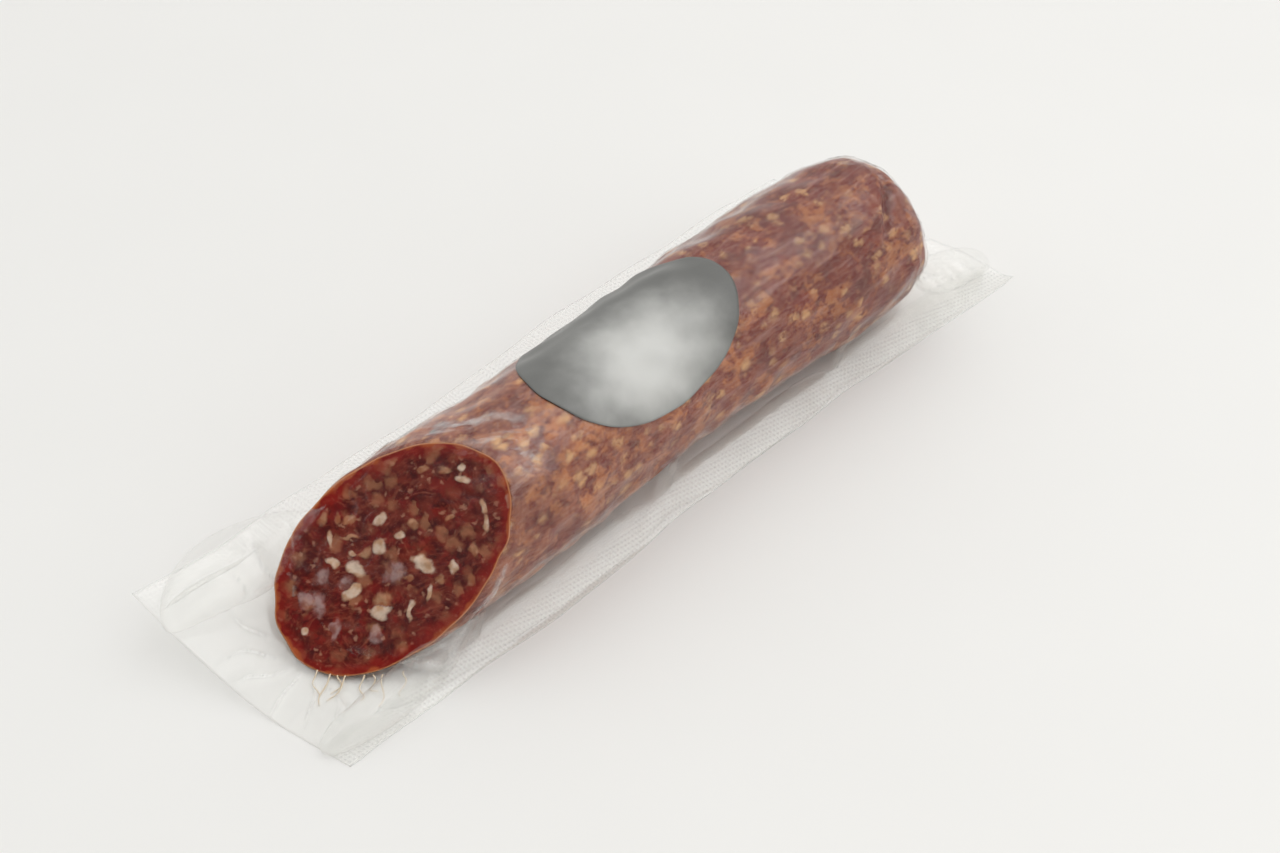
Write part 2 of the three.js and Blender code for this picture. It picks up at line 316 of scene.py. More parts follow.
def rim_points():
    turn = np.arange(SIDES) * 2 * math.pi / SIDES
    x = np.full(SIDES, CUT_CENTRE[0])
    for _ in range(6):
        points = round_points(x, turn)
        x = x - ((points - CUT_CENTRE) @ CUT_NORMAL) / CUT_NORMAL[0]
    return x, turn


def round_points(x, turn):
    out = np.stack([np.zeros_like(turn), np.sin(turn), np.cos(turn)], axis=-1)
    middle = np.stack([x, axis_y(x), np.full_like(x, AXIS_Z)], axis=-1)
    radius = (radius_at(x, turn) * dome_share(x))[..., None]
    points = middle + radius * out
    points = points + relief(points)[..., None] * out * np.minimum(radius / RELIEF_FADE_RADIUS, 1)
    points[..., 2] = np.maximum(points[..., 2], RESTING_Z)
    return points


def build_sausage():
    rim_x, turn = rim_points()
    share = np.linspace(0, 1, CASING_ROWS)
    share = 0.86 * share + 0.14 * np.sin(share * math.pi / 2) ** 2
    tip_x = ROUND_TIP_X - 0.02
    x = rim_x[None, :] + share[:, None] * (tip_x - rim_x[None, :])
    casing = round_points(x, np.broadcast_to(turn, x.shape))
    rim_distance = -(casing - CUT_CENTRE) @ CUT_NORMAL
    rounding = RIM_ROUNDING * (1 - ease(0, RIM_ROUNDING_REACH, rim_distance)) ** 2
    towards_axis = np.stack(
        [np.zeros_like(x), -np.sin(turn) + 0 * x, -np.cos(turn) + 0 * x], axis=-1)
    casing = casing + rounding[..., None] * towards_axis
    rim = casing[0]
    middle = rim.mean(axis=0)
    ring = 1 - np.linspace(0, 1, FACE_RINGS + 1)[1:-1]
    face = middle + ring[:, None, None] * (rim - middle)
    tip = np.array([[tip_x, *casing[-1].mean(axis=0)[1:]]])
    points = np.concatenate([casing.reshape(-1, 3), face.reshape(-1, 3), middle[None], tip])
    casing_count = casing.shape[0] * SIDES
    face_start = casing_count
    middle_index = face_start + face.shape[0] * SIDES
    tip_index = middle_index + 1

    from_middle = points - CUT_CENTRE
    along, across = from_middle @ CUT_ALONG, from_middle @ CUT_ACROSS
    amount, kind = fat_on_face(along, across)
    on_face = np.zeros(len(points))
    on_face[face_start:tip_index] = 1
    depth = np.zeros(len(points))
    depth[face_start:middle_index] = ((1 - ring)[:, None] * np.linalg.norm(rim - middle, axis=1)).ravel()
    depth[middle_index] = 24
    waves = sum(height * ripple(points, size, SEED + shift) for size, height, shift in FACE_WAVES)
    push = on_face * ease(0, 2, depth) * (FAT_PROUD * (amount - FAT_LEVEL) + waves)
    points = points + push[:, None] * CUT_NORMAL

    after = [(i + 1) % SIDES for i in range(SIDES)]
    faces = [tuple(f[::-1]) for f in grid_faces(CASING_ROWS, SIDES, wrap=True)]
    first_ring = [(i, after[i], face_start + after[i], face_start + i) for i in range(SIDES)]
    rings = [tuple(f) for f in grid_faces(face.shape[0], SIDES, wrap=True, start=face_start)]
    last = middle_index - SIDES
    centre_fan = [(last + i, last + after[i], middle_index) for i in range(SIDES)]
    end = casing_count - SIDES
    tip_fan = [(end + i, tip_index, end + after[i]) for i in range(SIDES)]
    all_faces = faces + first_ring + rings + centre_fan + tip_fan
    made = make_piece("sausage_body", points, all_faces,
                      {"fat": amount * on_face, "fat_kind": kind, "rim_depth": depth})
    made.data.materials.append(casing_finish())
    made.data.materials.append(cut_finish())
    slot = np.zeros(len(made.data.polygons), np.int32)
    slot[len(faces):len(faces) + len(first_ring) + len(rings) + len(centre_fan)] = 1
    made.data.polygons.foreach_set("material_index", slot)
    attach(made, "root")
    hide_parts("sausage")
    return made


# ---------------------------------------------------------------- pouch

def seal_height(x, y):
    """Height of the sealed margin above the table."""
    leaning = AXIS_Z - SEAL_DEPTH / math.cos(LEAN) + math.tan(LEAN) * (y - axis_y(x))
    side = np.maximum(0, (y - NEAR_DROOP_Y[0]) / (NEAR_DROOP_Y[1] - NEAR_DROOP_Y[0]))
    height = blend(NEAR_CORNER_HEIGHT * side ** NEAR_DROOP_POWER, leaning, ease(*NEAR_DROOP_X, x))
    bent = np.minimum(height, RIGHT_EDGE_SLOPE * (y - RIGHT_EDGE_Y))
    return np.maximum(0, bent)


def skewed_x(middle_x, across):
    near = NEAR_SKEW * ease(-NEAR_SKEW_START_X, -NEAR_EDGE_X, -middle_x)
    far = FAR_SKEW * ease(DOME_START_X, FAR_EDGE_X, middle_x)
    return middle_x + (near + far) * across


FILM_ROWS = 126
ARCH_COLUMNS = 42
WALL_COLUMNS = 6
MARGIN_COLUMNS = 9
POCKET_NEAR_FADE = (-129.0, -117.0)
POCKET_FAR_FADE = (98.0, 117.0)
POCKET_FAR_SKEW = 0.2
START_LOOSENESS = 2.0


def edge_wave(x, phase):
    wave = np.sin(x / EDGE_WAVE_LENGTH + phase)
    return EDGE_WAVE * (wave + EDGE_RIPPLE_SHARE * np.sin(x / EDGE_RIPPLE_LENGTH))


def margin_wave(x, y):
    """Slight waviness of the free film, in height."""
    return 0.12 * np.sin(x / 9 + y / 7) + 0.1 * np.sin(x / 4.3 - y / 11 + 2)


def cut_level(x, across):
    """Highest level that the cut leaves room for, square to the margin."""
    side = CUT_NORMAL[1] * math.cos(LEAN) + CUT_NORMAL[2] * math.sin(LEAN)
    up = CUT_NORMAL[2] * math.cos(LEAN) - CUT_NORMAL[1] * math.sin(LEAN)
    return (START_LOOSENESS - CUT_NORMAL[0] * (x - CUT_CENTRE[0]) - side * across) / up


def film_start(upper):
    """The sheet before the air is drawn out, as rows of points: position along, across and
    square to the margin, and each point's distance from the nearer side edge."""
    middle_x = np.linspace(NEAR_EDGE_X, FAR_EDGE_X, FILM_ROWS)[:, None]
    ones = np.ones_like(middle_x)
    turns = np.linspace(-math.pi / 2, math.pi / 2, ARCH_COLUMNS)
    down = np.linspace(0, 1, WALL_COLUMNS + 1)[1:]
    out = np.linspace(0, 1, MARGIN_COLUMNS + 1)[1:]
    half = BODY_RADIUS + START_LOOSENESS
    right = MARGIN_RIGHT + edge_wave(middle_x, -1)
    left = MARGIN_LEFT + edge_wave(middle_x, 1)
    arch_foot = 0.0 if upper else -SEAL_DEPTH
    arch_rise = half if upper else SEAL_DEPTH - half
    across = np.concatenate([
        -blend(half, right, out)[:, ::-1],
        -half * ones * np.ones_like(down),
        half * np.sin(turns) * ones,
        half * ones * np.ones_like(down),
        blend(half, left, out),
    ], axis=1)
    level = np.concatenate([
        -SEAL_DEPTH * ones * np.ones_like(out),
        blend(arch_foot, -SEAL_DEPTH, down)[::-1] * ones,
        (arch_foot + arch_rise * np.cos(turns)) * ones,
        blend(arch_foot, -SEAL_DEPTH, down) * ones,
        -SEAL_DEPTH * ones * np.ones_like(out),
    ], axis=1)
    return middle_x, across, level, np.minimum(across + right, left - across)


def pocket_share(x, across):
    """1 over the sausage, 0 past the ends of the pocket."""
    return ease(*POCKET_NEAR_FADE, x) * (1 - ease(*POCKET_FAR_FADE, x + POCKET_FAR_SKEW * across))


TENSION = 0.5
ROUGH_PULL = (300, 0.2)   # steps, and how far the air draws the sheet in each, coarse then fine
FINE_PULL = (60, 0.07)


def draw_air_out(points, from_edge, upper, lift, steps, suction):
    """Pulls the sheet onto the sausage and the margin, as the pump does."""
    held = from_edge < SEAL_BAND
    held[0] = held[-1] = True
    fixed = points[held]
    for _ in range(steps):
        average = points.copy()
        average[1:-1, 1:-1] = (
            points[:-2, 1:-1] + points[2:, 1:-1] + points[1:-1, :-2] + points[1:-1, 2:]) / 4
        points = blend(points, average, TENSION)
        points = points - (suction if upper else -suction) * sheet_normal(points)
        distance = body_distance(points) - relief(points)
        push = np.maximum(FILM_CLEARANCE - distance, 0)
        points = points + gradient(body_distance, points) * push[..., None]
        seal = seal_height(points[..., 0], points[..., 1])
        if upper:
            points[..., 2] = np.maximum(points[..., 2], seal + lift)
        else:
            points[..., 2] = np.clip(points[..., 2], lift, np.maximum(seal, lift))
        points[held] = fixed
    return points


def shape_film(upper):
    middle_x, across, level, from_edge = film_start(upper)
    x = skewed_x(middle_x, across)
    if upper:
        level = np.maximum(np.minimum(level, cut_level(x, across)), -SEAL_DEPTH)
    level = blend(-SEAL_DEPTH, level, pocket_share(x, across))
    lift = 2.5 * FILM_THICKNESS if upper else FILM_THICKNESS / 2
    y = axis_y(x) + across * math.cos(LEAN) - level * math.sin(LEAN)
    z = seal_height(x, y) + (level + SEAL_DEPTH) / math.cos(LEAN) + lift
    points = np.stack([x, y, np.maximum(z, lift)], axis=-1)
    points = draw_air_out(points, from_edge, upper, lift, *ROUGH_PULL)
    from_edge = refined(from_edge)
    points = draw_air_out(refined(points), from_edge, upper, lift, *FINE_PULL)
    return points, from_edge, lift


def sheet_normal(points):
    normal = np.cross(np.gradient(points, axis=0), np.gradient(points, axis=1))
    return normal / np.maximum(np.linalg.norm(normal, axis=-1, keepdims=True), 1e-9)


def refined(grid, times=2):
    """The same grid with more rows and columns."""
    for axis in (0, 1):
        count = grid.shape[axis]
        at = np.linspace(0, count - 1, (count - 1) * times + 1)
        low = np.minimum(at.astype(int), count - 2)
        share = (at - low).reshape([-1, 1] + [1] * (grid.ndim - 2))
        share = share if axis == 0 else np.swapaxes(share, 0, 1)
        grid = blend(np.take(grid, low, axis), np.take(grid, low + 1, axis), share)
    return grid


def ridged(points, size, seed, sharpness=5):
    """Thin crests, 0 to 1, that wander about."""
    return (1 - np.abs(np.clip(ripple(points, size, seed), -1, 1))) ** sharpness


GATHER_CENTRE = (-113.0, 3.0)
GATHER_FADE = (16.0, 30.0)
GATHER_END_X = (-104.0, -90.0)
# Heights of the folds
GATHER_HEIGHT = 0.7
SHOULDER_HEIGHT = 0.34
FLANK_HEIGHT = 0.16
PINCH_HEIGHT = 0.3
CREST_HEIGHT = 1.3
END_FOLD_HEIGHT = 0.45
# The crest beside the rim: how far from it, how much it strays, and its width
CREST_OFFSET = 3.2
CREST_STRAY = 0.8
CREST_WIDTH = 1.0
LIFTED_HEIGHT = (0.24, 0.8)
# Wrinkles above the cut run at a slant: shrinks lengths along them
PINCH_DIRECTION = np.array([0.75, -0.6, -0.28])
PINCH_DIRECTION /= np.linalg.norm(PINCH_DIRECTION)
PINCH_GRAIN = np.eye(3) - 0.8 * np.outer(PINCH_DIRECTION, PINCH_DIRECTION)


def above_cut(points):
    """1 where the film is pinched above the top of the cut."""
    rim_distance = (CUT_CENTRE - points) @ CUT_NORMAL
    turn = turn_at(points)
    near = np.exp(-((rim_distance - 4.5) / 4.0) ** 2) * ease(-1.0, 1.0, rim_distance)
    top = ease(-72, -62, points[..., 0]) * ease(-1.0, -0.5, turn) * (1 - ease(0.4, 0.9, turn))
    return near * top


def folds(points):
    """Height of the folds and wrinkles that the shrunken film keeps."""
    x, y = points[..., 0], points[..., 1]
    turn = turn_at(points)
    distance = body_distance(points)
    free = ease(0.6, 3.0, distance)
    # Gathers that run from the low tip of the cut out to the corners
    away = np.hypot(x - GATHER_CENTRE[0], y - GATHER_CENTRE[1])
    bearing = np.arctan2(y - GATHER_CENTRE[1], x - GATHER_CENTRE[0])
    sway = 0.9 * ripple(points, 14, SEED + 20)
    spokes = (1 - np.abs(np.sin(6.5 * bearing + sway))) ** 3
    fading = (1 - ease(*GATHER_FADE, away)) * (1 - ease(*GATHER_END_X, x))
    gathers = GATHER_HEIGHT * spokes * free * fading
    # Lengthwise wrinkles down the left shoulder and the flanks
    lengthwise = points * np.array([0.12, 1.0, 1.0])
    shoulder = SHOULDER_HEIGHT * ridged(lengthwise, 4.5, SEED + 21) * ease(0.45, 0.9, turn) * (1 - free)
    flank = FLANK_HEIGHT * ridged(lengthwise, 5.0, SEED + 22) * ease(0.7, 1.2, -turn) * (1 - free)
    # Pinched film above the top of the cut
    rim_distance = (CUT_CENTRE - points) @ CUT_NORMAL
    pinched = PINCH_HEIGHT * ridged(points @ PINCH_GRAIN, 7.0, SEED + 23, 2.2) * above_cut(points)
    # A crest beside the low right part of the rim
    low_right = ease(1.0, 1.4, -turn) * (1 - ease(2.6, 2.9, -turn)) * (1 - ease(-78, -66, x))
    off_crest = (rim_distance - CREST_OFFSET - CREST_STRAY * ripple(points, 9, SEED + 25)) / CREST_WIDTH
    crest = CREST_HEIGHT * np.exp(-off_crest ** 2) * low_right
    # Folds over the crease of the round end
    end = points * np.array([1.0, 0.5, 0.3])
    far = END_FOLD_HEIGHT * ridged(end, 6.0, SEED + 24, 4) * ease(84, 100, x)
    return gathers + shoulder + flank + pinched + crest + far


def build_film(name, upper):
    points, from_edge, lift = shape_film(upper)
    height = np.zeros_like(from_edge)
    if upper:
        points, from_edge = refined(points), refined(from_edge)
        height = folds(points) * ease(SEAL_BAND, SEAL_BAND + 1.5, from_edge)
        points = points + height[..., None] * sheet_normal(points)
    wave = margin_wave(points[..., 0], points[..., 1]) * ease(0.5, 3.0, body_distance(points))
    points[..., 2] = np.maximum(points[..., 2] + wave, lift)
    rows, columns = points.shape[:2]
    steps = np.linalg.norm(np.diff(points, axis=1), axis=-1)
    run = np.concatenate([np.zeros((rows, 1)), np.cumsum(steps, axis=1)], axis=1)
    uv = np.stack([points[..., 0], run], axis=-1).reshape(-1, 2) * MM
    seal = 1 - ease(SEAL_BAND - 0.5, SEAL_BAND, from_edge)
    made = make_piece(name, points.reshape(-1, 3), grid_faces(rows, columns)[:, ::-1],
                      {"seal": seal.ravel(), "near_edge": (1 - ease(0.0, 0.5, from_edge)).ravel(),
                       "lifted": ease(*LIFTED_HEIGHT, height).ravel(),
                       "near_margin": (1 - ease(-112, -100, points[..., 0])).ravel(),
                       "loose": above_cut(points).ravel()})
    add_uv(made, uv)
    thicken(made, FILM_THICKNESS)
    made.data.materials.append(film_finish())
    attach(made, "root")
    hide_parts("pouch_upper_film" if upper else "pouch_lower_film")
    return made


# ---------------------------------------------------------------- label

LABEL_SHIFT = -2.2
LABEL_RINGS = 44
LABEL_SECTORS = 220
LABEL_LIFT = 0.35
LABEL_HALF_WIDTH = 26.9
LABEL_BEND_OUT = 0.7
LABEL_WAVE, LABEL_WAVE_SIZE = 0.05, 9.0
LABEL_THICKNESS = 0.12


def build_label():
    half_length = (label_high[0] - label_low[0]) / 2
    ring = np.linspace(0.02, 1, LABEL_RINGS)[:, None]
    turn = np.linspace(0, 2 * math.pi, LABEL_SECTORS, endpoint=False)[None, :]
    x = half_length * ring * np.cos(turn)
    arc = LABEL_HALF_WIDTH * ring * np.sin(turn)
    angle = (arc + LABEL_SHIFT) / (BODY_RADIUS + LABEL_BEND_OUT)
    points = round_points(x, angle)
    out = np.stack([np.zeros_like(angle), np.sin(angle), np.cos(angle)], axis=-1)
    lift = LABEL_LIFT + LABEL_WAVE * ripple(points, LABEL_WAVE_SIZE, SEED + 8)
    points = points + out * lift[..., None]
    middle = points[0].mean(axis=0)
    flat = points.reshape(-1, 3)
    uv = np.stack([x, arc], axis=-1).reshape(-1, 2) * MM
    faces = [tuple(f[::-1]) for f in grid_faces(LABEL_RINGS, LABEL_SECTORS, wrap=True)]
    centre = len(flat)
    faces += [(i, (i + 1) % LABEL_SECTORS, centre) for i in range(LABEL_SECTORS)]
    made = make_piece("oval_label_sheet", np.concatenate([flat, middle[None]]), faces)
    add_uv(made, np.concatenate([uv, [[0.0, 0.0]]]))
    thicken(made, LABEL_THICKNESS)
    made.data.materials.append(label_finish())
    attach(made, "root")
    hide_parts("oval_label")
    return made


# ---------------------------------------------------------------- frayed threads of the casing

THREAD_RADIUS = 0.24
THREAD_SIDES = 6
THREAD_STEPS = 40
THREAD_LEVELS = (0.45, 2.5)   # the lowest and highest that a thread's middle lies
THREAD_ROOT_DEPTH = 0.4
# They head away from the cut, each turned a little further to the right than the last
THREAD_HEADING = (-0.85, -0.35)
THREAD_FAN = 0.12
# Where each hangs from the low rim (degrees round from the top), its length and its curl
THREADS = [
    (196, 8.5, 1.2), (188, 10.0, 0.9), (205, 7.0, 1.5), (180, 7.5, 1.8), (213, 9.0, 1.0), (222, 6.5, 1.6),
    (192, 5.0, 2.0), (209, 4.5, 1.8),
]


def build_threads():
    rim_x, turn = rim_points()
    rim = round_points(rim_x, turn)
    points, faces = [], []
    ring = np.arange(THREAD_SIDES) * 2 * math.pi / THREAD_SIDES
    for number, (bearing, length, curl) in enumerate(THREADS):
        root = rim[int(bearing * SIDES / 360) % SIDES]
        share = np.linspace(0, 1, THREAD_STEPS)
        swing = curl * np.sin(share * (5 + number % 3) + number) * share
        out = np.array([THREAD_HEADING[0], THREAD_HEADING[1] - THREAD_FAN * number, 0.0])
        out /= np.linalg.norm(out)
        side = np.array([-out[1], out[0], 0.0])
        path = root + share[:, None] * length * out + swing[:, None] * side
        bounce = 0.3 * curl * np.sin(share * 7 + number) * share
        path[:, 2] = np.clip(0.55 + (root[2] + 0.2) * (1 - share) ** 2 + bounce, *THREAD_LEVELS)
        path[0] -= CUT_NORMAL * THREAD_ROOT_DEPTH
        ahead = np.gradient(path, axis=0)
        ahead /= np.linalg.norm(ahead, axis=1, keepdims=True)
        beside = np.cross(ahead, [0, 0, 1.0])
        beside /= np.linalg.norm(beside, axis=1, keepdims=True)
        above = np.cross(beside, ahead)
        thin = THREAD_RADIUS * (1 - 0.6 * share)[:, None, None]
        tube = path[:, None] + thin * (
            np.cos(ring)[None, :, None] * beside[:, None] + np.sin(ring)[None, :, None] * above[:, None])
        start = sum(len(p) for p in points)
        points.append(tube.reshape(-1, 3))
        faces += [tuple(f) for f in grid_faces(THREAD_STEPS, THREAD_SIDES, wrap=True, start=start)]
        faces.append(tuple(start + i for i in reversed(range(THREAD_SIDES))))
        faces.append(tuple(start + (THREAD_STEPS - 1) * THREAD_SIDES + i for i in range(THREAD_SIDES)))
    made = make_piece("frayed_threads", np.concatenate(points), faces)
    made.data.materials.append(thread_finish())
    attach(made, "root")
    return made


# ---------------------------------------------------------------- finishes

class Field:
    """A value that varies over a surface: a socket with arithmetic on it."""

    def __init__(self, finish, socket):
        self.finish = finish
        self.socket = socket

    def _math(self, operation, first, second=None):
        sockets = {0: first} if second is None else {0: first, 1: second}
        return self.finish.node("Math", {"operation": operation}, sockets)

    def __add__(self, other): return self._math("ADD", self, other)
    def __radd__(self, other): return self._math("ADD", other, self)
    def __sub__(self, other): return self._math("SUBTRACT", self, other)
    def __rsub__(self, other): return self._math("SUBTRACT", other, self)
    def __mul__(self, other): return self._math("MULTIPLY", self, other)
    def __rmul__(self, other): return self._math("MULTIPLY", other, self)
    def __truediv__(self, other): return self._math("DIVIDE", self, other)
    def __pow__(self, other): return self._math("POWER", self, other)

    def between(self, low, high):
        """0 at low, 1 at high, smooth in between; low may be the larger."""
        if low > high:
            return 1 - self.between(high, low)
        settings = {"interpolation_type": "SMOOTHSTEP"}
        return self.finish.node("MapRange", settings, {"Value": self, "From Min": low, "From Max": high})


class Finish:
    """A material being made, or the light all round."""

    def __init__(self, name, kind=bpy.data.materials):
        self.made = kind.new(name)
        self.made.use_nodes = True
        self.tree = self.made.node_tree
        self.tree.nodes.clear()

    def node(self, kind, settings=None, sockets=None, out=0):
        made = self.tree.nodes.new("ShaderNode" + kind)
        for key, value in (settings or {}).items():
            setattr(made, key, value)
        for key, value in (sockets or {}).items():
            if isinstance(value, Field):
                self.tree.links.new(value.socket, made.inputs[key])
            else:
                made.inputs[key].default_value = value
        return Field(self, made.outputs[out]) if made.outputs else None

    def mix(self, share, first, second):
        return self.node("Mix", {"data_type": "RGBA"}, {0: share, 6: first, 7: second}, out=2)

    def place(self, stretch=(1, 1, 1), shift=(0, 0, 0)):
        """Position on the piece in millimetres, stretched."""
        where = self.node("TexCoord", out="Object")
        scale = tuple(s / MM for s in stretch)
        return self.node("Mapping", None, {"Vector": where, "Scale": scale, "Location": shift})

    def slanted(self, where, turn, length):
        """The place for a grain that runs at a turn from the length, drawn out along it."""
        sockets = {"Vector": where, "Rotation": (0, 0, math.radians(turn)), "Scale": (length, 1, 1)}
        return self.node("Mapping", {"vector_type": "TEXTURE"}, sockets)

    def noise(self, where, size, detail=2.0, roughness=0.5, out=0):
        sockets = {"Vector": where, "Scale": 1 / size, "Detail": detail, "Roughness": roughness}
        return self.node("TexNoise", None, sockets, out=out)

    def warped(self, where, size, amount):
        """The place moved about by noise, so that straight borders wander."""
        wander = self.noise(where, size, 2.0, out="Color")
        centred = self.node("VectorMath", {"operation": "SUBTRACT"}, {0: wander, 1: (0.5, 0.5, 0.5)})
        scaled = self.node("VectorMath", {"operation": "SCALE"}, {0: centred, "Scale": 2 * amount})
        return self.node("VectorMath", {"operation": "ADD"}, {0: where, 1: scaled})

    def cells(self, where, size, out="Distance"):
        return self.node("TexVoronoi", None, {"Vector": where, "Scale": 1 / size}, out=out)

    def cell_number(self, where, size, out=0):
        """A random number, 0 to 1, for each of the same cells."""
        return self.node("SeparateColor", None, {0: self.cells(where, size, out="Color")}, out=out)

    def attribute(self, name):
        return self.node("Attribute", {"attribute_name": name}, out="Fac")

    def bump(self, height, distance, strength=1.0):
        """height is 0 to 1, and stands for distance millimetres."""
        return self.node("Bump", None, {"Height": height, "Distance": distance * MM, "Strength": strength})

    def principled(self, **sockets):
        named = {key.replace("_", " "): value for key, value in sockets.items()}
        return self.node("BsdfPrincipled", None, named)

    def done(self, surface, output="OutputMaterial"):
        self.node(output, None, {"Surface": surface})
        return self.made


def paint(red, green, blue):
    """A colour given as it is seen on a screen, 0 to 255."""
    def linear(part):
        part /= 255
        return part / 12.92 if part <= 0.04045 else ((part + 0.055) / 1.055) ** 2.4
    return linear(red), linear(green), linear(blue), 1.0


def casing_finish():
    f = Finish("casing")
    place = f.place()
    # Meat seen through the casing, redder towards the round end
    reach = f.node("SeparateXYZ", None, {0: place}).between(-70, 85)
    meat = f.mix(f.noise(f.warped(place, 5.0, 2.0), 6.0, 3.0, 0.6).between(0.38, 0.62),
                 paint(122, 48, 32), paint(166, 98, 70))
    meat = f.mix(reach * 0.55, meat, paint(134, 32, 20))
    dark = f.noise(f.warped(f.place((0.6, 1, 1), (11, 23, 50)), 3.0, 2.0), 4.6, 3.0, 0.6)
    meat = f.mix(dark.between(0.5, 0.6) * 0.7, meat, paint(96, 22, 17))
    # Fat showing through, orange tan, in blurred blotches and smaller clear spots
    blotch = f.noise(f.warped(f.place((0.8, 1, 1)), 5.0, 4.4), 7.5, 5.0, 0.66)
    colour = f.mix(blotch.between(0.48, 0.63) * 0.8, meat, paint(206, 128, 72))
    spots_at = f.warped(f.place((0.75, 1, 1), (3, 9, 4)), 2.2, 1.4)
    spot = f.cells(spots_at, 3.8)
    shown = spot.between(0.55, 0.1) * f.cell_number(spots_at, 3.8).between(0.5, 0.7)
    colour = f.mix(shown * 0.85, colour, paint(232, 180, 122))
    flecks_at = f.warped(f.place((0.7, 1, 1), (13, 2, 8)), 1.2, 0.8)
    fleck = f.cells(flecks_at, 1.7)
    shown = fleck.between(0.5, 0.15) * f.cell_number(flecks_at, 1.7, out=1).between(0.6, 0.8)
    colour = f.mix(shown * 0.25, colour, paint(220, 160, 112))
    red = f.noise(f.warped(f.place((0.7, 1, 1), (71, 23, 9)), 3.0, 1.5), 3.0, 3.0, 0.6)
    colour = f.mix(red.between(0.52, 0.62) * (reach * 0.35 + 0.5), colour, paint(118, 24, 17))
    # A few dark specks of pepper
    specks_at = f.warped(place, 1.0, 0.4)
    speck = f.cells(specks_at, 9.0)
    shown = speck.between(0.12, 0.08) * f.cell_number(specks_at, 9.0, out=1).between(0.86, 0.87)
    colour = f.mix(shown * 0.8, colour, paint(84, 72, 66))
    grain = f.noise(f.place((0.35, 1, 1)), 0.9, 4.0, 0.6)
    colour = f.mix(grain.between(0.35, 0.7) * 0.14, colour, paint(236, 206, 180))
    wrinkle = f.noise(f.place((0.15, 1, 1)), 1.6, 3.0, 0.5)
    tone = f.noise(f.place((0.6, 1, 1), (8, 41, 6)), 14.0, 2.0)
    colour = f.mix(tone.between(0.3, 0.7) * 0.24 + reach * 0.16 + 0.12, colour, paint(76, 14, 4))
    # Painted sheen: pale lengthwise streaks that stand for the film's reflection on the casing
    painted_film_sheen = f.noise(f.place((0.12, 1, 1), (5, 5, 5)), 2.6, 3.0, 0.6)
    colour = f.mix(painted_film_sheen.between(0.54, 0.7) * 0.18, colour, paint(206, 170, 160))
    roughness = f.noise(place, 4.0).between(0.2, 0.9) * 0.2 + 0.36
    surface = f.principled(Base_Color=colour, Roughness=roughness, Specular_IOR_Level=0.2,
                           Normal=f.bump(grain * 0.4 + wrinkle * 0.6, 0.3, 0.6))
    return f.done(surface)


def cut_finish():
    f = Finish("cut_face")
    place = f.place()
    depth = f.attribute("rim_depth")
    fat = f.attribute("fat")
    kind = f.attribute("fat_kind")
    fibre = f.noise(f.slanted(f.warped(place, 16.0, 9.0), -35, 3.0), 1.2, 5.0, 0.65)
    clumps = f.noise(f.warped(place, 3.0, 2.0), 4.5, 3.0, 0.6)
    meat = f.mix(clumps.between(0.38, 0.62), paint(84, 17, 15), paint(118, 42, 30))
    vivid = f.noise(f.warped(f.place((1, 1, 1), (21, 5, 3)), 3.0, 2.0), 4.0, 3.0)
    meat = f.mix(vivid.between(0.5, 0.62) * 0.4, meat, paint(136, 20, 20))
    deep = f.noise(f.warped(f.place((1, 1, 1), (4, 50, 3)), 2.0, 1.5), 2.6, 3.0)
    meat = f.mix(deep.between(0.52, 0.64) * 0.6, meat, paint(62, 10, 11))
    meat = f.mix(fibre.between(0.48, 0.7) * 0.42, meat, paint(166, 92, 70))
    soft_at = f.warped(f.place((1, 1, 1), (2, 7, 31)), 3.0, 2.2)
    soft = f.cells(soft_at, 4.4)
    shown = soft.between(0.62, 0.2) * f.cell_number(soft_at, 4.4).between(0.45, 0.75)
    meat = f.mix(shown * 0.55, meat, paint(180, 122, 88))
    # Small flecks of fat
    flecks_at = f.warped(place, 2.0, 1.4)
    fleck = f.cells(flecks_at, 2.0)
    shown = fleck.between(0.45, 0.12) * f.cell_number(flecks_at, 2.0).between(0.6, 0.8)
    meat = f.mix(shown * 0.5, meat, paint(198, 146, 118))
    # Large pieces: cream, cloudy or tan
    cream = f.mix(f.noise(place, 3.0, 2.0).between(0.35, 0.65), paint(206, 164, 128), paint(236, 214, 192))
    cloudy = f.mix(f.noise(place, 2.6, 2.0).between(0.35, 0.65), paint(148, 100, 92), paint(196, 168, 164))
    tan = f.mix(f.noise(place, 2.4, 2.0).between(0.35, 0.65), paint(176, 116, 80), paint(210, 164, 126))
    fat_colour = f.mix(kind.between(0.0, 0.5), cream, cloudy)
    fat_colour = f.mix(kind.between(0.5, 1.0), fat_colour, tan)
    ragged = (fat + (f.noise(place, 1.1, 3.0, 0.6) - 0.5) * 0.8).between(0.15, 1.0)
    colour = f.mix(ragged * (0.8 - kind.between(0.0, 0.5) * 0.22), meat, fat_colour)
    # Dried rim: translucent red, then orange brown, then the pale casing itself
    wander = depth + (f.noise(place, 5.0, 3.0) - 0.5) * 6.0
    colour = f.mix(wander.between(4.6, 1.6) * 0.6, colour, paint(146, 24, 16))
    colour = f.mix(wander.between(1.1, 0.0) * 0.7, colour, paint(180, 92, 48))
    colour = f.mix(depth.between(0.5, 0.15) * 0.7, colour, paint(210, 150, 104))
    height = fibre * 0.6 + ragged * 0.25 + f.noise(place, 0.5, 2.0) * 0.15
    surface = f.principled(Base_Color=colour, Roughness=0.42 - ragged * 0.1,
                           Specular_IOR_Level=0.25, Normal=f.bump(height, 0.3, 0.7))
    return f.done(surface)


# Fine crossed lines pressed into the sealed margin
HATCH_TURN = math.radians(35)
HATCH_PITCH = 1.27
# A wave texture of scale 1 repeats after this length, square to its diagonal bands
WAVE_UNIT = 2 * math.pi / 10 / math.sqrt(2)


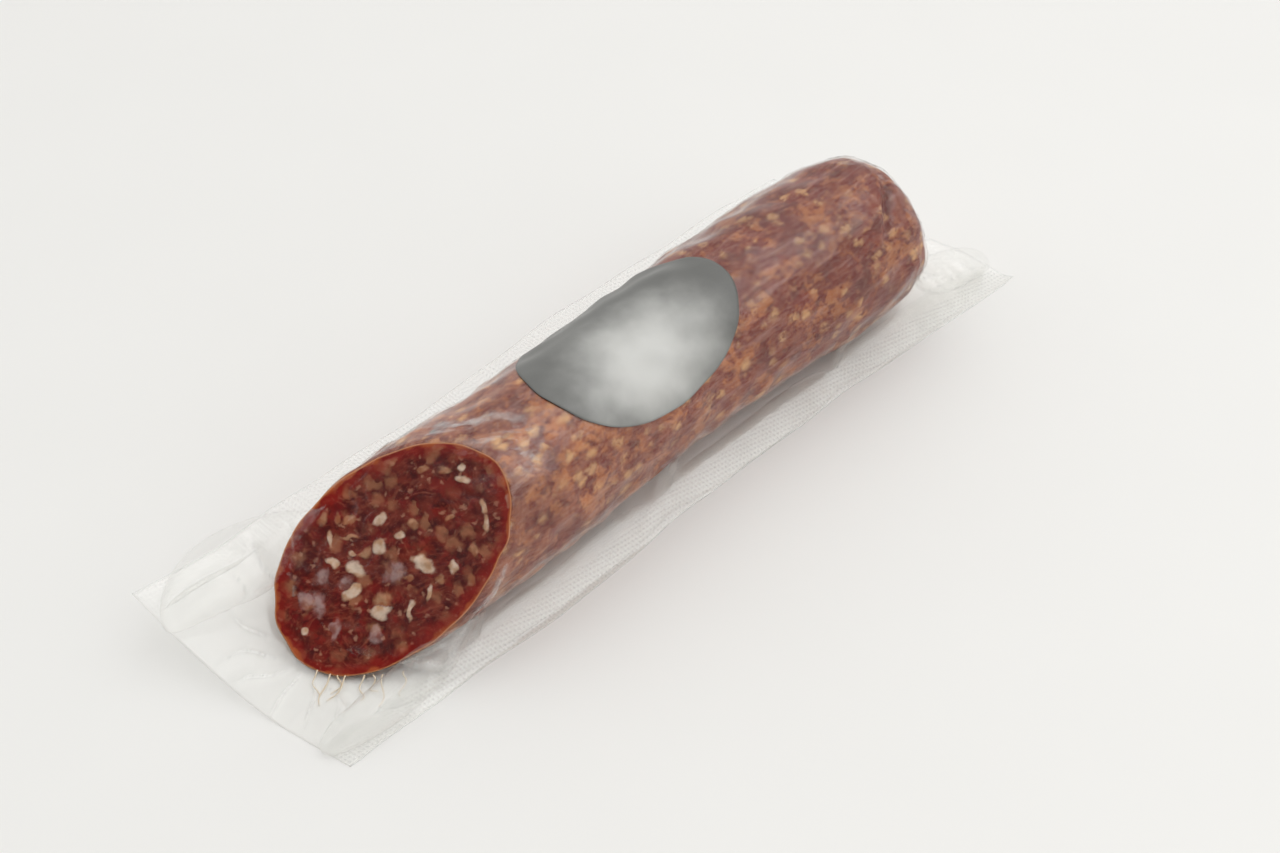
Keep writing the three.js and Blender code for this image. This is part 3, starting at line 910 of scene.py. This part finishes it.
def film_finish():
    f = Finish("clear_film")
    place = f.place()
    seal = f.attribute("seal")
    edge = f.attribute("near_edge")
    margin = f.attribute("near_margin")
    flat = f.node("TexCoord", out="UV")
    facing = f.node("LayerWeight", None, {"Blend": 0.5}, out="Facing")
    shine = facing ** 5.0 * 0.55 + 0.02
    # Fine creases, mostly lengthwise
    creases = f.noise(f.place((0.12, 1, 1)), 2.2, 4.0, 0.6)
    puckers = f.noise(place, 5.0, 3.0, 0.55)
    hatch = []
    for turn in (HATCH_TURN, -HATCH_TURN):
        turned = f.node("Mapping", None, {"Vector": flat, "Rotation": (0, 0, turn)})
        settings = {"wave_type": "BANDS", "bands_direction": "DIAGONAL"}
        scale = WAVE_UNIT / (HATCH_PITCH * MM)
        hatch.append(f.node("TexWave", settings, {"Vector": turned, "Scale": scale}))
    hatched = (hatch[0] + hatch[1]) * 0.5 * seal
    height = creases * 0.4 + puckers * 0.6 + hatched * 0.15
    normal = f.bump(height, 0.5, 0.5)
    gloss = f.principled(Base_Color=(1, 1, 1, 1), Metallic=1.0, Roughness=0.1, Normal=normal)
    haze = f.principled(Base_Color=(0.92, 0.92, 0.9, 1), Roughness=0.5)
    clear = f.node("BsdfTransparent", None, {"Color": (0.996, 0.996, 0.994, 1)})
    patchy = f.noise(place, 2.4, 3.0, 0.6).between(0.35, 0.7)
    lifted = f.attribute("lifted") * (patchy * 0.7 + 0.3)
    cloudy = f.noise(f.warped(f.slanted(place, -40, 2.5), 4.0, 2.0), 4.5, 3.0, 0.55)
    loose = f.attribute("loose") * cloudy.between(0.46, 0.76)
    pressed = hatched.between(0.5, 0.9)
    veil = edge * 0.1 + pressed * 0.03 + lifted * 0.28 + loose * 0.34 + margin * 0.04 + 0.003
    body = f.node("MixShader", None, {0: veil, 1: clear, 2: haze})
    return f.done(f.node("MixShader", None, {0: shine, 1: body, 2: gloss}))


# The pale glow of the label: half its length and width, and its shift in shares of them
GLOW_LENGTH, GLOW_WIDTH = 27.0, 20.0
GLOW_SHIFT = (0.1, 0.5, 0)


def label_finish():
    f = Finish("label_face")
    flat = f.node("TexCoord", out="UV")
    place = f.place()
    scale = (1 / (GLOW_LENGTH * MM), 1 / (GLOW_WIDTH * MM), 1)
    inward = f.node("Mapping", None, {"Vector": flat, "Location": GLOW_SHIFT, "Scale": scale})
    away = f.node("VectorMath", {"operation": "LENGTH"}, {0: inward}, out="Value")
    cloud = f.noise(place, 14.0, 3.0, 0.5)
    glow = (away + (cloud - 0.5) * 0.7).between(1.3, 0.2)
    grey = f.mix(f.noise(place, 0.35, 2.0), paint(92, 93, 90), paint(104, 104, 101))
    colour = f.mix(glow * 0.75, grey, paint(226, 226, 222))
    surface = f.principled(Base_Color=colour, Roughness=0.42, Coat_Weight=0.2, Coat_Roughness=0.2,
                           Normal=f.bump(f.noise(place, 0.4, 2.0), 0.03, 0.5))
    return f.done(surface)


def thread_finish():
    f = Finish("frayed_thread")
    colour = f.mix(f.noise(f.place(), 1.5, 2.0), paint(216, 190, 152), paint(240, 230, 212))
    return f.done(f.principled(Base_Color=colour, Roughness=0.5, Specular_IOR_Level=0.3))


def floor_finish():
    f = Finish("floor")
    tone = f.mix(f.noise(f.place(), 60.0, 2.0), (0.86, 0.855, 0.835, 1), (0.88, 0.875, 0.855, 1))
    return f.done(f.principled(Base_Color=tone, Roughness=0.6, Specular_IOR_Level=0.25))


# ---------------------------------------------------------------- stage

CAMERA_AT = (-370.2, -357.9, 485.6)
CAMERA_AHEAD = Vector((0.5326, 0.5066, -0.678))
CAMERA_LENS = 70.3125
SENSOR_WIDTH = 36.0
# The stage is in metres: each soft lamp's place and size, and its power in watts
FLOOR_REACH = 3.0
LAMP_TARGET = (0, 0, 0.02)
SOFTBOXES = {
    "softbox_above": ((0.25, 0.2, 1.35), (2.0, 1.6), 5.0),
    "softbox_right": ((0.3, -0.6, 1.1), (1.5, 1.0), 4.5),
}
TENT_COLOUR = (1.0, 0.995, 0.98, 1)
TENT_STRENGTH = 0.86
TENT_OPENING = Vector((-0.68, -0.33, 0.65))
OPENING_STRENGTH = 0.05
OPENING_EDGE = (0.66, 0.93)


def build_camera():
    data = bpy.data.cameras.new("camera")
    data.lens = CAMERA_LENS
    data.sensor_width = SENSOR_WIDTH
    camera = bpy.data.objects.new("camera", data)
    bpy.context.scene.collection.objects.link(camera)
    camera.location = Vector(CAMERA_AT) * MM
    camera.rotation_euler = CAMERA_AHEAD.to_track_quat("-Z", "Y").to_euler()
    bpy.context.scene.camera = camera


def build_floor():
    corners = [(-FLOOR_REACH, -FLOOR_REACH, 0), (FLOOR_REACH, -FLOOR_REACH, 0),
               (FLOOR_REACH, FLOOR_REACH, 0), (-FLOOR_REACH, FLOOR_REACH, 0)]
    mesh = bpy.data.meshes.new("floor")
    mesh.from_pydata(corners, [], [(0, 1, 2, 3)])
    mesh.materials.append(floor_finish())
    floor = bpy.data.objects.new("floor", mesh)
    bpy.context.scene.collection.objects.link(floor)


def build_lamp(name, at, size, power):
    data = bpy.data.lights.new(name, "AREA")
    data.shape = "RECTANGLE"
    data.size, data.size_y = size
    data.energy = power
    lamp = bpy.data.objects.new(name, data)
    bpy.context.scene.collection.objects.link(lamp)
    lamp.location = at
    lamp.rotation_euler = (Vector(LAMP_TARGET) - Vector(at)).to_track_quat("-Z", "Y").to_euler()


def build_tent():
    """A tent of white cloth all round, open and dim behind the camera."""
    f = Finish("studio", bpy.data.worlds)
    where = f.node("TexCoord", out="Generated")
    sockets = {0: where, 1: TENT_OPENING.normalized()}
    towards = f.node("VectorMath", {"operation": "DOT_PRODUCT"}, sockets, out="Value")
    strength = towards.between(*OPENING_EDGE) * (OPENING_STRENGTH - TENT_STRENGTH) + TENT_STRENGTH
    light = f.node("Background", None, {"Color": TENT_COLOUR, "Strength": strength})
    bpy.context.scene.world = f.done(light, "OutputWorld")


def build_stage():
    build_floor()
    for name, (at, size, power) in SOFTBOXES.items():
        build_lamp(name, at, size, power)
    build_tent()
    # The film is many clear layers deep
    bpy.context.scene.cycles.transparent_max_bounces = 32
    bpy.context.scene.view_settings.view_transform = "Standard"


build_camera()
build_stage()
build_sausage()
build_film("pouch_lower_sheet", upper=False)
build_film("pouch_upper_sheet", upper=True)
build_label()
build_threads()
